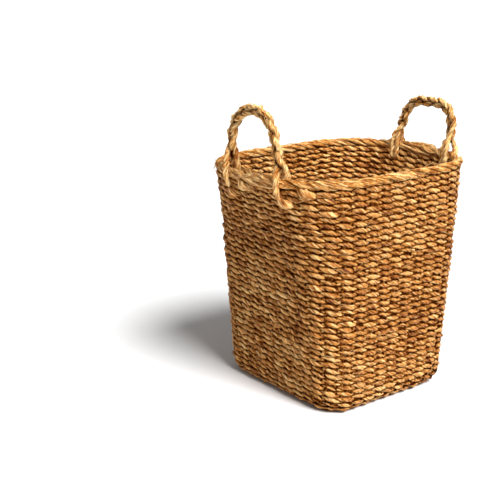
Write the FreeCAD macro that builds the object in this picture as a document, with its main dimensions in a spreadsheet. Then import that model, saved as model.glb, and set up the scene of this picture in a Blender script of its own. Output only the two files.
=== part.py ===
import FreeCAD, Part
import Sketcher
import math
import os

# Woven laundry basket with two plaited handles.
# Frame: +Z up, origin at the middle of the underside. The handles stand on the two ends of
# the long axis, the left one at -Y and the right one at +Y, and +X is the front.

DOC = FreeCAD.newDocument("woven_laundry_basket")
SHEET = DOC.addObject("Spreadsheet::Sheet", "sheet")

# The driving dimensions, in millimetres, degrees or counts.
SIZES = {
    # outside of the basket at three levels: the base, the belly and the rim
    "base_width": 302,
    "base_length": 280,
    "base_corner": 49,
    "belly_width": 318,
    "belly_length": 345,
    "belly_corner": 76,
    "belly_height": 288,
    "rim_width": 319,
    "rim_length": 412,
    "rim_corner": 114,
    "rim_height": 400,
    # the woven wall and floor
    "wall": 11,
    "base_thickness": 11,
    "bottom_round": 24,
    "patch_width": 96,
    "patch_length": 80,
    "weave_bands": 7,
    # the upright stakes that the weave is worked round
    "stake_diameter": 4.4,
    "stakes_per_quarter": 11,
    "stake_socket": 5,
    "stake_gap": 1,
    "stake_bend": 300,
    # the rim rope and the bundle that it is wrapped round
    "rim_thickness": 15,
    "rim_round": 6.8,
    "core_thickness": 6,
    "core_round": 2.8,
    # the handles: each foot stands between two stakes, counted from the middle of its end
    "rope_diameter": 17,
    "front_foot_stakes": 2.75,
    "back_foot_stakes": 1.8,
    "left_rise": 100,
    "left_front_lean": 17,
    "left_back_lean": 6,
    "left_front_share": 0.43,
    "left_back_share": 0.53,
    "right_rise": 82,
    "right_front_lean": 0,
    "right_back_lean": 23,
    "right_front_share": 0.32,
    "right_back_share": 0.30,
    # the strands that hold each foot to the rim, and their tails on the outside of the wall
    "strand_diameter": 8,
    "strand_bend": 6,
    "slot_drop": 27,
    "tail_diameter": 9,
    "tail_length": 40,
    "tail_drop": 11,
    # the free space round a piece that passes through or lies on another
    "clearance": 0.3,
}

UP = FreeCAD.Vector(0, 0, 1)
# sine of the turn under which a path counts as straight
IN_LINE = 1e-4


def fill_sheet():
    """Write every driving dimension to the sheet and give its cell an alias."""
    for row, (alias, number) in enumerate(SIZES.items(), start=1):
        SHEET.set(f"A{row}", alias.replace("_", " "))
        SHEET.set(f"B{row}", str(number))
        SHEET.setAlias(f"B{row}", alias)
    DOC.recompute()


def size(alias):
    """The number that the sheet holds under this alias."""
    return float(getattr(SHEET, alias))


# ---------------------------------------------------------------- sketches and rings

def origin_plane(body, role):
    """One of the three origin planes of a body."""
    return next(item for item in body.Origin.OriginFeatures if item.Role == role)


def bind_constraint(sketch, constraint, name, expression):
    """Add a dimension to a sketch and tie it to the sheet."""
    index = sketch.addConstraint(constraint)
    sketch.renameConstraint(index, name)
    sketch.setExpression(f"Constraints.{name}", expression)


def rounded_rectangle(body, name, level, inset, height):
    """A rounded rectangle at one level of the basket, inset from the outline there.

    The corner centres stay where they are, so that only the radius takes the inset.
    inset and height are expressions.
    """
    sketch = body.newObject("Sketcher::SketchObject", name)
    sketch.AttachmentSupport = [(origin_plane(body, "XY_Plane"), "")]
    sketch.MapMode = "FlatFace"
    sketch.setExpression("AttachmentOffset.Base.z", height)
    radius = size(f"{level}_corner")
    centre_x = size(f"{level}_width") / 2 - radius
    centre_y = size(f"{level}_length") / 2 - radius
    quarter_turn = math.pi / 2
    arcs = []
    for quarter, (side_x, side_y) in enumerate(((1, 1), (-1, 1), (-1, -1), (1, -1))):
        centre = FreeCAD.Vector(side_x * centre_x, side_y * centre_y, 0)
        circle = Part.Circle(centre, UP, radius)
        start = quarter * quarter_turn
        arcs.append(sketch.addGeometry(Part.ArcOfCircle(circle, start, start + quarter_turn)))
    for quarter, direction in enumerate(("Horizontal", "Vertical") * 2):
        this_arc = arcs[quarter]
        next_arc = arcs[(quarter + 1) % 4]
        line = Part.LineSegment(sketch.getPoint(this_arc, 2), sketch.getPoint(next_arc, 1))
        side = sketch.addGeometry(line)
        sketch.addConstraint(Sketcher.Constraint("Tangent", this_arc, 2, side, 1))
        sketch.addConstraint(Sketcher.Constraint("Tangent", side, 2, next_arc, 1))
        sketch.addConstraint(Sketcher.Constraint(direction, side))
    for arc in arcs[1:]:
        sketch.addConstraint(Sketcher.Constraint("Equal", arcs[0], arc))
    sketch.addConstraint(Sketcher.Constraint("Symmetric", arcs[0], 3, arcs[2], 3, -1, 1))
    bind_constraint(sketch, Sketcher.Constraint("Radius", arcs[0], radius),
                    "corner", f"sheet.{level}_corner - ({inset})")
    bind_constraint(sketch, Sketcher.Constraint("DistanceX", -1, 1, arcs[0], 3, centre_x),
                    "centre_x", f"sheet.{level}_width / 2 - sheet.{level}_corner")
    bind_constraint(sketch, Sketcher.Constraint("DistanceY", -1, 1, arcs[0], 3, centre_y),
                    "centre_y", f"sheet.{level}_length / 2 - sheet.{level}_corner")
    DOC.recompute()
    return sketch


def edges_at(shape, height):
    """The names of the edges that lie wholly at one height."""
    names = []
    for number, edge in enumerate(shape.Edges, start=1):
        box = edge.BoundBox
        if abs(box.ZMin - height) < 0.01 and abs(box.ZMax - height) < 0.01:
            names.append(f"Edge{number}")
    return names


def loft(body, kind, name, sections):
    """Add material to a body, or take it away, through a row of sections from the top down."""
    feature = body.newObject(kind, name)
    feature.Profile = (sections[0], [""])
    feature.Sections = sections[1:]
    feature.Ruled = True
    DOC.recompute()
    return feature


def fillet(body, name, base, edges, radius):
    """Round some edges of a body's last feature; radius is an expression."""
    feature = body.newObject("PartDesign::Fillet", name)
    feature.Base = (base, edges)
    feature.setExpression("Radius", radius)
    DOC.recompute()
    return feature


def ring(name, inset, thickness, height, rounding):
    """A closed ring along the rim: outer inset, thickness, height of its underside, rounding.

    All four are expressions.
    """
    body = DOC.addObject("PartDesign::Body", name)
    outer = rounded_rectangle(body, f"{name}_outer", "rim", inset, height)
    pad = body.newObject("PartDesign::Pad", f"{name}_pad")
    pad.Profile = outer
    pad.setExpression("Length", thickness)
    DOC.recompute()
    inner = rounded_rectangle(body, f"{name}_inner", "rim", f"{inset} + {thickness}", height)
    pocket = body.newObject("PartDesign::Pocket", f"{name}_pocket")
    pocket.Profile = inner
    pocket.Reversed = True
    pocket.setExpression("Length", f"{thickness}")
    DOC.recompute()
    box = pocket.Shape.BoundBox
    edges = edges_at(pocket.Shape, box.ZMin) + edges_at(pocket.Shape, box.ZMax)
    fillet(body, f"{name}_round", pocket, edges, rounding)
    return body


def boolean(kind, name, base, tool):
    """A Part::Cut or Part::Common of two objects."""
    feature = DOC.addObject(kind, name)
    feature.Base = base
    feature.Tool = tool
    DOC.recompute()
    return feature


def block(name, width, length, height, bottom):
    """A box centred on the Z axis; all four sizes are expressions."""
    box = DOC.addObject("Part::Box", name)
    box.setExpression("Length", width)
    box.setExpression("Width", length)
    box.setExpression("Height", height)
    box.setExpression("Placement.Base.x", f"-({width}) / 2")
    box.setExpression("Placement.Base.y", f"-({length}) / 2")
    box.setExpression("Placement.Base.z", bottom)
    return box


def solid_object(name, shape):
    """A Part::Feature that holds a shape worked out below."""
    feature = DOC.addObject("Part::Feature", name)
    feature.Shape = shape
    return feature


# ---------------------------------------------------------------- the wall's middle surface

def level_data(level):
    """Height, corner centre and mid-wall corner radius at one level of the basket."""
    corner = size(f"{level}_corner")
    centre_x = size(f"{level}_width") / 2 - corner
    centre_y = size(f"{level}_length") / 2 - corner
    if level == "rim":
        height = size("rim_height") - size("rim_thickness")
        return height, centre_x, centre_y, corner - size("rim_thickness") / 2
    height = size("belly_height") if level == "belly" else 0.0
    return height, centre_x, centre_y, corner - size("wall") / 2


def section_at(height):
    """Corner centre and mid-wall corner radius at any height: the wall is straight between levels."""
    base, belly, rim = [level_data(level) for level in ("base", "belly", "rim")]
    low, high = (base, belly) if height < belly[0] else (belly, rim)
    share = (height - low[0]) / (high[0] - low[0])
    return [start + (end - start) * share for start, end in zip(low[1:], high[1:])]


def wall_point(stakes, height):
    """Point on the wall's middle surface, and the level outward direction there.

    stakes counts stake spacings, clockwise from the middle of the +Y end seen from above.
    Four mirrored quarters make the round, each from the middle of an end to that of a face.
    """
    centre_x, centre_y, radius = section_at(height)
    per_quarter = size("stakes_per_quarter")
    quarter, along = divmod(stakes, per_quarter)
    quarter = int(quarter) % 4
    if quarter % 2:
        along = per_quarter - along
    arc = radius * math.pi / 2
    run = along / per_quarter * (centre_x + arc + centre_y)
    turn = min(max((run - centre_x) / radius, 0.0), math.pi / 2)
    x = min(run, centre_x) + radius * math.sin(turn)
    y = centre_y - max(run - centre_x - arc, 0.0) + radius * math.cos(turn)
    side_x = (1, 1, -1, -1)[quarter]
    side_y = (1, -1, -1, 1)[quarter]
    point = FreeCAD.Vector(side_x * x, side_y * y, height)
    outward = FreeCAD.Vector(side_x * math.sin(turn), side_y * math.cos(turn), 0)
    return point, outward


def rim_point(stakes):
    """Point on the line where the wall's middle surface meets the rim, and outward there."""
    return wall_point(stakes, size("rim_height") - size("rim_thickness"))


# ---------------------------------------------------------------- round bars along a path

def rounded_path(points, bends, closed=False):
    """Straight runs through the points, with a tangent arc of the given radius at each bend.

    bends holds one radius for each inner point, or for each point of a closed path. A point
    that lies in line with its neighbours is passed straight through.
    """
    count = len(points)
    inner = range(count) if closed else range(1, count - 1)
    starts = dict()
    for radius, index in zip(bends, inner):
        corner = points[index]
        before = (points[index - 1] - corner).normalize()
        after = (points[(index + 1) % count] - corner).normalize()
        if before.cross(after).Length < IN_LINE:
            continue
        half = before.getAngle(after) / 2
        reach = radius / math.tan(half)
        middle = corner + (before + after).normalize() * (radius / math.sin(half) - radius)
        starts[index] = (corner + before * reach, middle, corner + after * reach)
    edges = []
    for index in range(count if closed else count - 1):
        following = (index + 1) % count
        leave = starts[index][2] if index in starts else points[index]
        arrive = starts[following][0] if following in starts else points[following]
        edges.append(Part.LineSegment(leave, arrive).toShape())
        if following in starts:
            edges.append(Part.Arc(*starts[following]).toShape())
    return Part.Wire(edges)


def round_bar(path, diameter):
    """A bar of round section along a path that starts with a straight run or an arc."""
    first = path.OrderedEdges[0]
    start = first.valueAt(first.FirstParameter)
    direction = first.tangentAt(first.FirstParameter)
    section = Part.Wire([Part.makeCircle(diameter / 2, start, direction)])
    return path.makePipeShell([section], True, True)


# ---------------------------------------------------------------- the woven wall and floor

def make_vessel():
    """The whole woven body before it is split: outside, inside and both bottom rounds."""
    body = DOC.addObject("PartDesign::Body", "vessel")
    top = "sheet.rim_height - sheet.rim_thickness"
    skin = "(sheet.rim_thickness - sheet.wall) / 2"
    outside = [
        rounded_rectangle(body, "outside_rim", "rim", skin, top),
        rounded_rectangle(body, "outside_belly", "belly", "0", "sheet.belly_height"),
        rounded_rectangle(body, "outside_base", "base", "0", "0"),
    ]
    shell = loft(body, "PartDesign::AdditiveLoft", "outside", outside)
    foot = fillet(body, "outside_round", shell, edges_at(shell.Shape, 0), "sheet.bottom_round")
    full = foot.Shape.Volume
    inside = [
        rounded_rectangle(body, "inside_rim", "rim", f"{skin} + sheet.wall", top),
        rounded_rectangle(body, "inside_belly", "belly", "sheet.wall", "sheet.belly_height"),
        rounded_rectangle(body, "inside_base", "base", "sheet.wall", "sheet.base_thickness"),
    ]
    hollow = loft(body, "PartDesign::SubtractiveLoft", "inside", inside)
    if hollow.Shape.Volume > 0.5 * full:
        raise RuntimeError("the basket has not been hollowed")
    edges = edges_at(hollow.Shape, size("base_thickness"))
    fillet(body, "inside_round", hollow, edges, "sheet.bottom_round - sheet.wall")
    return body


def stake_bars(bottom, top):
    """One upright bar for every stake, between two heights, bent with the wall."""
    belly = size("belly_height")
    heights = (bottom, (bottom + belly) / 2, belly, (belly + top) / 2, top)
    bends = [size("stake_bend")] * (len(heights) - 2)
    bars = []
    for number in range(int(4 * size("stakes_per_quarter"))):
        place = number + 0.5
        points = [wall_point(place, height)[0] for height in heights]
        bars.append(round_bar(rounded_path(points, bends), size("stake_diameter")))
    return bars


def make_stakes():
    """The stakes, in one group for each side of the basket, gripped by the weave all the way up."""
    bottom = size("bottom_round") - size("stake_socket")
    top = size("rim_height") - size("rim_thickness") - size("stake_gap")
    bars = stake_bars(bottom, top)
    per_side = int(size("stakes_per_quarter"))
    groups = []
    for side, name in enumerate(("right_stakes", "front_stakes", "left_stakes", "back_stakes")):
        first = side * per_side - (per_side + 1) // 2
        group = [bars[number % len(bars)] for number in range(first, first + per_side)]
        groups.append(solid_object(name, Part.Compound(group)))
    return groups


def make_floor_plate():
    """The flat floor inside the turn of the foot, with its patch still in it."""
    body = DOC.addObject("PartDesign::Body", "floor_plate")
    outline = rounded_rectangle(body, "floor_outline", "base", "sheet.bottom_round", "0")
    pad = body.newObject("PartDesign::Pad", "floor_pad")
    pad.Profile = outline
    pad.setExpression("Length", "sheet.base_thickness")
    DOC.recompute()
    return body


def make_weave(vessel, slots):
    """The floor's rounds and woven patch, the turn of the foot and the wall's bands."""
    wide = "2 * sheet.rim_width"
    long = "2 * sheet.rim_length"
    foot_slab = block("foot_slab", wide, long, "sheet.bottom_round", "0")
    base = boolean("Part::Common", "base", vessel, foot_slab)
    plate = make_floor_plate()
    patch = block("floor_patch", "sheet.patch_width", "sheet.patch_length",
                  "sheet.base_thickness", "0")
    pieces = [patch, boolean("Part::Cut", "floor_rounds", plate, patch),
              boolean("Part::Cut", "foot_courses", base, plate)]
    count = int(size("weave_bands"))
    step = "((sheet.rim_height - sheet.rim_thickness - sheet.bottom_round) / sheet.weave_bands)"
    for number in range(1, count + 1):
        bottom = f"sheet.bottom_round + {number - 1} * {step}"
        slab = block(f"band_slab_{number}", wide, long, step, bottom)
        if number < count:
            pieces.append(boolean("Part::Common", f"wall_weave_{number}", vessel, slab))
        else:
            band = boolean("Part::Common", "unslotted_band", vessel, slab)
            pieces.append(boolean("Part::Cut", f"wall_weave_{number}", band, slots))
    return pieces


def make_rim():
    """The rope that closes the wall, hollow round the bundle that it is wrapped on."""
    bottom = "sheet.rim_height - sheet.rim_thickness"
    core_inset = "(sheet.rim_thickness - sheet.core_thickness) / 2"
    solid_rim = ring("solid_rim", "0", "sheet.rim_thickness", bottom, "sheet.rim_round")
    core = ring("rim_core", core_inset, "sheet.core_thickness",
                f"{bottom} + {core_inset}", "sheet.core_round")
    tunnel = ring("rim_tunnel", f"{core_inset} - sheet.clearance",
                  "(sheet.core_thickness + 2 * sheet.clearance)",
                  f"{bottom} + {core_inset} - sheet.clearance",
                  "sheet.core_round + sheet.clearance")
    return [boolean("Part::Cut", "rim_rope", solid_rim, tunnel), core]


# ---------------------------------------------------------------- the handles

def between_stakes(place):
    """The nearest place to this one where a strand passes clear of the stakes beside it."""
    spacing = rim_point(0)[0].distanceToPoint(rim_point(1)[0])
    half_both = (size("strand_diameter") + size("stake_diameter")) / 2
    room = (half_both + 2 * size("clearance")) / spacing
    stake_before = math.floor(place - 0.5) + 0.5
    return min(max(place, stake_before + room), stake_before + 1 - room)


def foot_places(side):
    """Where a handle's feet stand on the round, counted in stake spacings."""
    front = between_stakes(size("front_foot_stakes"))
    back = between_stakes(size("back_foot_stakes"))
    half_round = 2 * size("stakes_per_quarter")
    if side == "right":
        return {"front": front, "back": -back}
    return {"front": half_round - front, "back": half_round + back}


def strand_top():
    """Height of the top of the strands that cross the rim."""
    return size("rim_height") + size("clearance") + size("strand_diameter")


def hinge_height():
    """Height of the line that a handle bends about, just over the strands at its feet."""
    return strand_top() + size("clearance") + size("rope_diameter") / 2


def make_plait(side):
    """One handle: two leaning legs and a crown, with a ball at each foot on the hinge line."""
    places = foot_places(side)
    front, back = [rim_point(places[foot])[0] for foot in ("front", "back")]
    middle_y = (front.y + back.y) / 2
    crown = size("rim_height") + size(f"{side}_rise")
    rise = crown - hinge_height()
    feet = []
    shoulders = []
    turns = []
    for point, foot, inward in ((back, "back", 1), (front, "front", -1)):
        lean = math.radians(size(f"{side}_{foot}_lean"))
        feet.append(FreeCAD.Vector(point.x, middle_y, hinge_height()))
        shoulder_x = point.x + inward * rise * math.tan(lean)
        shoulders.append(FreeCAD.Vector(shoulder_x, middle_y, crown))
        turns.append((math.pi / 2 - lean) / 2)
    span = shoulders[0].distanceToPoint(shoulders[1])
    bends = []
    for foot, turn in zip(("back", "front"), turns):
        bends.append(size(f"{side}_{foot}_share") * span / math.tan(turn))
    path = rounded_path([feet[0], shoulders[0], shoulders[1], feet[1]], bends)
    rope = round_bar(path, size("rope_diameter"))
    balls = [Part.makeSphere(size("rope_diameter") / 2, foot) for foot in feet]
    return solid_object(f"{side}_handle_plait", rope.multiFuse(balls))


def make_root(side, foot):
    """The strands of one foot: a closed ring over the rim and through the wall's slot."""
    place = foot_places(side)[foot]
    centre, outward = rim_point(place)
    slot_height = size("rim_height") - size("slot_drop")
    half_strand = size("strand_diameter") / 2
    beside_rim = size("rim_thickness") / 2 + size("clearance") + half_strand
    lean_back = (centre - wall_point(place, slot_height)[0]).dot(outward)
    beside_wall = lean_back + size("wall") / 2 + half_strand + size("wall") / 4
    inside = -max(beside_rim, beside_wall)
    top = strand_top() - half_strand
    corners = []
    for across, height in ((inside, slot_height), (beside_rim, slot_height),
                           (beside_rim, top), (inside, top)):
        corners.append(FreeCAD.Vector(centre.x, centre.y, height) + outward * across)
    path = rounded_path(corners, [size("strand_bend")] * 4, closed=True)
    return solid_object(f"{side}_handle_{foot}_root", round_bar(path, size("strand_diameter")))


def slot_bores():
    """The four holes that the strands pass through, square to the wall."""
    bores = []
    diameter = size("strand_diameter") + 2 * size("clearance")
    length = 4 * size("wall")
    for side in ("left", "right"):
        for place in foot_places(side).values():
            centre, outward = rim_point(place)
            centre.z = size("rim_height") - size("slot_drop")
            start = centre - outward * (length / 2)
            bores.append(Part.makeCylinder(diameter / 2, length, start, outward))
    return solid_object("strand_slots", Part.Compound(bores))


def make_tail(side, foot):
    """The tail of one foot's strands, laid level along the outside of the wall beside it."""
    length = size("tail_length")
    radius = size("tail_diameter") / 2
    height = size("rim_height") - size("slot_drop") - size("tail_drop")
    stake_spacing = rim_point(0)[0].distanceToPoint(rim_point(1)[0])
    place = foot_places(side)[foot] - length / 2 / stake_spacing
    middle, level_out = wall_point(place, height)
    along = UP.cross(level_out)
    above = wall_point(place, height + radius)[0]
    below = wall_point(place, height - radius)[0]
    upward = above - below
    upward = (upward - along * upward.dot(along)).normalize()
    outward = along.cross(upward)
    skin = size("wall") / 2 * level_out.dot(outward)
    centre = middle + outward * (skin + size("clearance") + radius)
    straight = length - 2 * radius
    start = centre - along * (straight / 2)
    end = centre + along * (straight / 2)
    bar = Part.makeCylinder(radius, straight, start, along)
    tail = bar.multiFuse([Part.makeSphere(radius, start), Part.makeSphere(radius, end)])
    return solid_object(f"{side}_handle_{foot}_tail", tail)


# ---------------------------------------------------------------- build, check and write

def check_document():
    """Stop if any object of the document has failed."""
    for item in DOC.Objects:
        if "Invalid" in item.State or "Error" in item.State:
            raise RuntimeError(f"{item.Name} has failed: {item.State}")


def write_piece(piece):
    """Check one sub-part and write it to its own file."""
    piece.Label = piece.Name
    shape = piece.Shape
    if shape.isNull() or not shape.isValid() or not shape.Solids:
        raise RuntimeError(f"{piece.Label} has no valid solid")
    shape.exportStep(f"parts/{piece.Label}.step")
    print(f"{piece.Label:28s} solids {len(shape.Solids):3d}  volume {shape.Volume:12.1f}")


def build():
    """Make every sub-part, check them all and write them."""
    fill_sheet()
    vessel = make_vessel()
    pieces = make_weave(vessel, slot_bores())
    pieces += make_stakes()
    pieces += make_rim()
    for side in ("left", "right"):
        pieces.append(make_plait(side))
        for foot in ("front", "back"):
            pieces.append(make_root(side, foot))
            pieces.append(make_tail(side, foot))
    DOC.recompute()
    check_document()
    os.makedirs("parts", exist_ok=True)
    for piece in pieces:
        write_piece(piece)


build()
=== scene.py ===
from math import acos, asin, atan2, ceil, cos, pi, radians, sin, tan
from random import Random

import bmesh
import bpy
import numpy as np
from bpy.props import FloatProperty, FloatVectorProperty, IntProperty, PointerProperty
from bpy.types import Operator, Panel, PropertyGroup
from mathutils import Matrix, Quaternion, Vector, noise
from mathutils.geometry import interpolate_bezier


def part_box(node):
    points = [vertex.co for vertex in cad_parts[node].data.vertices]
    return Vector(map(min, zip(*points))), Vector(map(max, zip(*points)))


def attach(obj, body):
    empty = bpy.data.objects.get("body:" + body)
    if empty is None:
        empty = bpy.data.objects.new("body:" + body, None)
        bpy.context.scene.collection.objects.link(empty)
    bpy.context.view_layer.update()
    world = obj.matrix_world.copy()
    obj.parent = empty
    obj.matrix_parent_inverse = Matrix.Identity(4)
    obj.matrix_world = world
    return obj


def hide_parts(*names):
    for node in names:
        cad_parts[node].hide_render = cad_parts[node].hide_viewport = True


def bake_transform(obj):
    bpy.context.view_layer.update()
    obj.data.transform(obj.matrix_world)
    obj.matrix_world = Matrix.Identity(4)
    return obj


bl_info = {
    "name": "Woven Laundry Basket",
    "version": (1, 0, 0),
    "blender": (4, 5, 0),
    "location": "View3D > Sidebar > Basket",
    "description": "Twined seagrass laundry basket with a rope rim and two plaited handles",
    "category": "Add Mesh",
}

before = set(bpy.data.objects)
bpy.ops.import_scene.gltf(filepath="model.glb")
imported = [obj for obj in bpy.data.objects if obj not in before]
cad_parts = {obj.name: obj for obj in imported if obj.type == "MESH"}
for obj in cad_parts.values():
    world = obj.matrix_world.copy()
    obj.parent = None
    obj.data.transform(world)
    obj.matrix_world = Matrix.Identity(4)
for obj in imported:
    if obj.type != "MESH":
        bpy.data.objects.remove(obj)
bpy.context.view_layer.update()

UP = Vector((0.0, 0.0, 1.0))
BANDS = 7
RIM_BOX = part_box("rim_rope")
RIM_MIDDLE = (RIM_BOX[0].z + RIM_BOX[1].z) / 2
HANDLE_BOX = {side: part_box(f"{side}_handle_plait") for side in ("left", "right")}


def length(name, default, description):
    """A size in metres that a user would change."""
    return FloatProperty(name=name, default=default, description=description,
                         unit="LENGTH", subtype="DISTANCE", precision=4)


def colour(name, default, description):
    """A colour that a user would change."""
    return FloatVectorProperty(name=name, default=default, description=description,
                               subtype="COLOR", size=3, min=0.0, max=1.0)


def share(name, default, description):
    """A plain number without a unit."""
    return FloatProperty(name=name, default=default, description=description)


def slant(name, degrees, description):
    """An angle that a user would change."""
    return FloatProperty(name=name, default=radians(degrees), description=description,
                         subtype="ANGLE")


def number_of(name, default, description, least=0):
    """A number of things."""
    return IntProperty(name=name, default=default, description=description, min=least)


# ---- sizes and colours

class BasketOutline(PropertyGroup):
    """Outside of the basket at its base, its belly and its rim."""
    base_width: length("Base width", 0.302, "Outside width of the base from back to front")
    base_length: length("Base length", 0.280, "Outside length of the base from handle to handle")
    base_corner: length("Base corner", 0.049, "Corner radius of the base")
    belly_width: length("Belly width", 0.318, "Outside width where the wall starts to flare")
    belly_length: length("Belly length", 0.345, "Outside length where the wall starts to flare")
    belly_corner: length("Belly corner", 0.076, "Corner radius where the wall starts to flare")
    belly_height: length("Belly height", 0.288, "Height at which the wall starts to flare")
    rim_corner: length("Rim corner", 0.114, "Corner radius of the rim")
    rim_thickness: length("Rim thickness", 0.015, "Thickness of the rim rope")
    wall: length("Wall", 0.011, "Thickness of the woven wall")
    foot_round: length("Foot round", 0.024, "Radius of the turn from floor to wall")
    stakes_per_quarter: number_of("Stakes per quarter", 11, "Upright stakes in a quarter", 4)


class WeaveSizes(PropertyGroup):
    """The twined courses of the wall and the floor."""
    courses_per_band: number_of("Courses per band", 5, "Twined courses in a band of the wall", 1)
    strand_height: length("Strand height", 0.0086, "Height of a strand where it crosses a stake")
    strand_depth: length("Strand depth", 0.0070, "Depth of a strand through the wall")
    swing_out: length("Swing", 0.0026, "How far a strand swings out of the wall's middle")
    swing_up: length("Climb", 0.0028, "How far a strand climbs as it crosses a stake")
    waviness: length("Waviness", 0.0016, "How far the courses wander up and down")
    foot_courses: number_of("Foot courses", 3, "Twined courses round the turn of the foot", 1)
    floor_rounds: number_of("Floor rounds", 8, "Twined rounds of the floor", 1)


class RimSizes(PropertyGroup):
    """The rope that closes the wall."""
    plies: number_of("Plies", 4, "Strands in the rim rope", 2)
    ply: length("Ply", 0.0076, "Thickness of one strand of the rim rope")
    lay: length("Lay", 0.110, "Length of one full turn of a strand")
    spread: length("Spread", 0.0040, "Distance of a strand from the rope's middle")
    wraps: number_of("Wraps", 11, "Extra strands round the rim between a handle's feet")
    wrap_out: length("Wrap distance", 0.0042, "How far the extra strands stand off the rim rope")


class HandleSizes(PropertyGroup):
    """One plaited handle."""
    crown: length("Crown", 0.500, "Height of the rope's middle at the top of the handle")
    front_lean: slant("Front lean", 17, "Lean of the front leg towards the back")
    back_lean: slant("Back lean", 6, "Lean of the back leg towards the front")
    front_share: share("Front share", 0.43, "Part of the top that the front shoulder takes")
    back_share: share("Back share", 0.53, "Part of the top that the back shoulder takes")


class PlaitSizes(PropertyGroup):
    """The three strands that both handles are plaited from."""
    strand: length("Strand", 0.0092, "Thickness of one strand of a plait")
    half_width: length("Half width", 0.0049, "Sideways swing of a strand")
    half_depth: length("Half depth", 0.0027, "Swing of a strand through the plait")
    period: length("Period", 0.078, "Length in which a strand crosses over and back")


class FibreSizes(PropertyGroup):
    """The loose fibres that stand off the strands."""
    thickness: length("Thickness", 0.0011, "Thickness of a loose fibre where it leaves its strand")
    reach: length("Reach", 0.030, "Length of the longest loose fibres")
    on_wall: number_of("On the wall", 560, "Loose fibres on the wall, outside and inside")
    on_rim: number_of("On the rim", 110, "Loose fibres on the rim")
    on_handle: number_of("On a handle", 34, "Loose fibres on each handle")


class FibreColours(PropertyGroup):
    """Colours of the dried seagrass."""
    shade: colour("Shade", (0.065, 0.013, 0.0005), "Dark brown of the deepest creases")
    russet: colour("Russet", (0.33, 0.090, 0.010), "Reddish brown leaves")
    tan: colour("Tan", (0.52, 0.200, 0.032), "Golden tan leaves")
    gold: colour("Gold", (0.66, 0.32, 0.072), "Golden yellow leaves")
    straw: colour("Straw", (0.87, 0.60, 0.27), "Pale straw leaves")


class StageSizes(PropertyGroup):
    """Floor, lamps and camera."""
    floor: FloatVectorProperty(name="Floor", default=(0.88, 0.88, 0.88), subtype="COLOR",
                               description="Colour of the floor")
    key: share("Key lamp", 5.7, "Strength of the key lamp")
    softness: slant("Softness", 30, "Width of the key lamp as the basket sees it")
    fill: share("Fill lamp", 0.9, "Power of the fill lamp in watts")
    mouth: share("Mouth lamp", 85.0, "Power in watts of the lamp that reaches into the mouth")
    lens: FloatProperty(name="Lens", default=71.9, subtype="DISTANCE_CAMERA",
                        description="Focal length of the camera")


# ---- the basket's outline

FLARE_SOFTNESS = 0.02  # how far above and below the belly the wall turns into the flare
RISE = 0.002  # step up the wall over which its lean is measured
PATCH_CORNER = 0.006  # corner radius of the floor's first round, at the edge of the patch


def limited(value):
    """The value, kept between 0 and 1."""
    return min(max(value, 0.0), 1.0)


def levels():
    """Height, corner centre and mid-wall corner radius at the base, the belly and the rim."""
    o = bpy.context.scene.basket_outline
    rows = (
        (0.0, o.base_width, o.base_length, o.base_corner, o.wall),
        (o.belly_height, o.belly_width, o.belly_length, o.belly_corner, o.wall),
        (RIM_BOX[0].z, RIM_BOX[1].x - RIM_BOX[0].x, RIM_BOX[1].y - RIM_BOX[0].y, o.rim_corner,
         o.rim_thickness))
    return [(height, wide / 2 - corner, long / 2 - corner, corner - thickness / 2)
            for height, wide, long, corner, thickness in rows]


def section(height):
    """Corner centre and corner radius of the wall's middle at any height, flared softly."""
    base, belly, rim = levels()
    below = (height - base[0]) / (belly[0] - base[0])
    above = (height - belly[0]) / (rim[0] - belly[0])
    turn = limited((height - belly[0] + FLARE_SOFTNESS) / (2 * FLARE_SOFTNESS))
    turn = turn * turn * (3 - 2 * turn)
    values = []
    for low, middle, high in zip(base[1:], belly[1:], rim[1:]):
        straight = low + (middle - low) * below
        flared = middle + (high - middle) * above
        values.append(straight + (flared - straight) * turn)
    return values


def rim_place(stakes):
    """Point on the middle of the rim rope with the direction outwards."""
    point, level_out = round_point(stakes, *section(RIM_BOX[0].z))
    point.z = RIM_MIDDLE
    return point, level_out


def around(level_out, turn):
    """The direction outwards, turned up about the rim rope."""
    return level_out * cos(turn) + UP * sin(turn)


def all_stakes():
    """The number of stakes all the way round."""
    return 4 * bpy.context.scene.basket_outline.stakes_per_quarter


def foot_bend():
    """Radius of the turn from floor to wall, to the middle of the weave."""
    o = bpy.context.scene.basket_outline
    return o.foot_round - o.wall / 2


def round_point(stakes, centre_x, centre_y, radius):
    """Point and outward direction on a rounded rectangle.

    stakes counts stake spacings, clockwise from the middle of the +Y end seen from above.
    """
    per_quarter = bpy.context.scene.basket_outline.stakes_per_quarter
    quarter, along = divmod(stakes, per_quarter)
    quarter = int(quarter) % 4
    if quarter % 2:
        along = per_quarter - along
    arc = radius * pi / 2
    run = along / per_quarter * (centre_x + arc + centre_y)
    turn = min(max((run - centre_x) / radius, 0.0), pi / 2)
    x = min(run, centre_x) + radius * sin(turn)
    y = centre_y - max(run - centre_x - arc, 0.0) + radius * cos(turn)
    side_x = (1, 1, -1, -1)[quarter]
    side_y = (1, -1, -1, 1)[quarter]
    return (Vector((side_x * x, side_y * y, 0.0)),
            Vector((side_x * sin(turn), side_y * cos(turn), 0.0)))


def wall_place(stakes, height):
    """Point on the wall's middle surface with the directions outwards and up the wall."""
    point, level_out = round_point(stakes, *section(height))
    above = round_point(stakes, *section(height + RISE))[0]
    lean = (above - point).dot(level_out) / RISE
    point.z = height
    upward = (UP + level_out * lean).normalized()
    outward = (level_out - UP * lean).normalized()
    return point, outward, upward


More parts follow.
